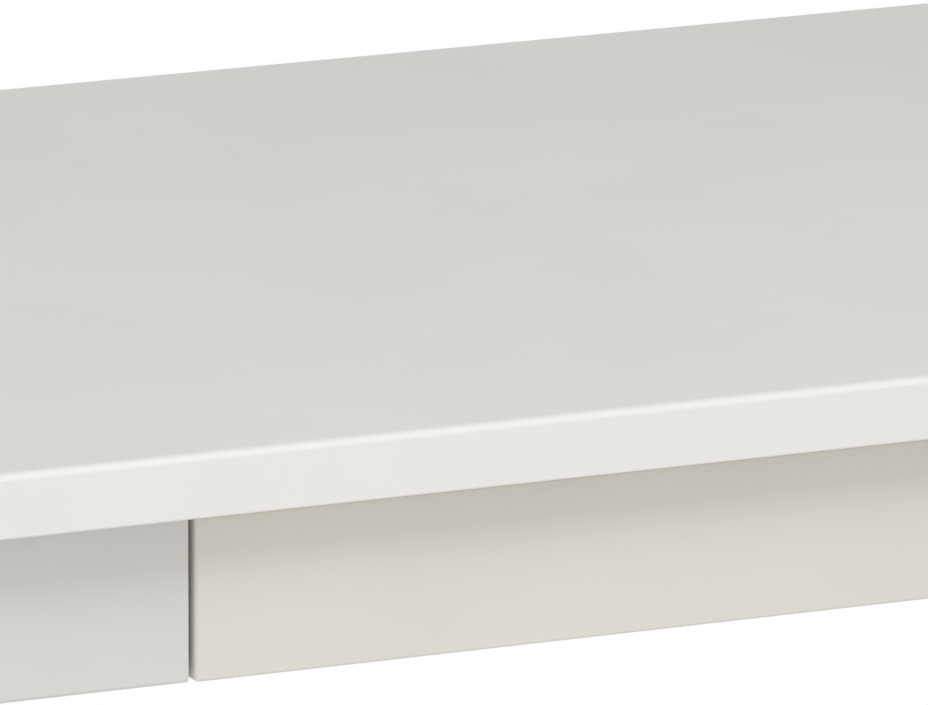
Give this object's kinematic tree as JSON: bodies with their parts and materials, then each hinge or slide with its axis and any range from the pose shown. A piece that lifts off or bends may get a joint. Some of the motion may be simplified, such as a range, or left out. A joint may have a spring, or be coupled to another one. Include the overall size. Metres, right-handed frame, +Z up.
{
  "type": "under-desk drawer",
  "caption": "Shallow pull-out drawer on roller runners under a white worktop, its plain front set between folded steel aprons and opened by its lower edge.",
  "frame": {"origin": "centre of the worktop's underside, in the middle of the four leg bolts", "axes": "+Z up out of the worktop's face, -Y towards the person at the desk (the drawer opens along -Y), +X along the width to their right"},
  "size_m": [0.8, 0.6, 0.092],
  "materials": {
    "worktop_foil": "satin white melamine foil on particle board, fine pebbled emboss",
    "edge_band": "satin white ABS edge band",
    "apron_steel": "cool white fine-textured powder coat on folded steel sheet",
    "drawer_paint": "warm white satin paint on fibreboard",
    "drawer_foil": "white foil on particle board",
    "bottom_board": "hardboard, white lacquer above and bare fibre below",
    "runner_steel": "white epoxy coated roll-formed steel",
    "bracket_steel": "cool white powder coat on folded steel sheet",
    "roller_nylon": "off-white nylon",
    "axle_steel": "bright zinc plated",
    "screw_zinc": "bright zinc plated",
    "cam_zinc": "die-cast zinc",
    "dowel_beech": "bare beech"
  },
  "bodies": {
    "desk_frame": {"worktop_board": "worktop_foil", "worktop_band_front": "edge_band", "worktop_band_back": "edge_band", "worktop_band_left": "edge_band", "worktop_band_right": "edge_band", "side_apron_left": "apron_steel", "side_apron_right": "apron_steel", "back_apron": "apron_steel", "runner_bracket_left": "bracket_steel", "runner_bracket_right": "bracket_steel", "cabinet_runner_left": "runner_steel", "cabinet_runner_right": "runner_steel", "front_axle_left": "axle_steel", "front_axle_right": "axle_steel", "worktop_screws": "screw_zinc", "runner_rivets": "screw_zinc", "apron_bolts": "screw_zinc", "apron_nuts": "screw_zinc", "leg_insert_nuts": "screw_zinc"},
    "drawer": {"drawer_front": "drawer_paint", "drawer_side_left": "drawer_foil", "drawer_side_right": "drawer_foil", "drawer_back": "drawer_foil", "drawer_bottom": "bottom_board", "drawer_runner_left": "runner_steel", "drawer_runner_right": "runner_steel", "drawer_back_screws": "screw_zinc", "drawer_runner_screws": "screw_zinc", "drawer_bottom_screws": "screw_zinc", "rear_axle_left": "axle_steel", "rear_axle_right": "axle_steel", "dowels": "dowel_beech", "cam_bolts": "screw_zinc", "cam_locks": "cam_zinc"},
    "front_roller_left_wheel": {"front_roller_left": "roller_nylon"},
    "front_roller_right_wheel": {"front_roller_right": "roller_nylon"},
    "rear_roller_left_wheel": {"rear_roller_left": "roller_nylon"},
    "rear_roller_right_wheel": {"rear_roller_right": "roller_nylon"}
  },
  "joints": [
    {"name": "drawer_slide", "type": "slide", "parent": "desk_frame", "child": "drawer", "axis": [0, -1, 0], "range_m": [0, 0.37]},
    {"name": "front_roller_left_spin", "type": "hinge", "parent": "desk_frame", "child": "front_roller_left_wheel", "pos_m": [-0.2702, -0.25, -0.04945], "axis": [1, 0, 0], "range_deg": [0, 2400]},
    {"name": "rear_roller_left_spin", "type": "hinge", "parent": "drawer", "child": "rear_roller_left_wheel", "pos_m": [-0.2693, 0.222, -0.04995], "axis": [1, 0, 0], "range_deg": [0, 2400]},
    {"name": "front_roller_right_spin", "type": "hinge", "parent": "desk_frame", "child": "front_roller_right_wheel", "pos_m": [0.2702, -0.25, -0.04945], "axis": [1, 0, 0], "range_deg": [0, 2400]},
    {"name": "rear_roller_right_spin", "type": "hinge", "parent": "drawer", "child": "rear_roller_right_wheel", "pos_m": [0.2693, 0.222, -0.04995], "axis": [1, 0, 0], "range_deg": [0, 2400]}
  ],
  "couplings": [
    {"joint": "front_roller_left_spin", "follows": "drawer_slide", "rad_per_m": 111.11},
    {"joint": "rear_roller_left_spin", "follows": "drawer_slide", "rad_per_m": 111.11},
    {"joint": "front_roller_right_spin", "follows": "drawer_slide", "rad_per_m": 111.11},
    {"joint": "rear_roller_right_spin", "follows": "drawer_slide", "rad_per_m": 111.11}
  ]
}
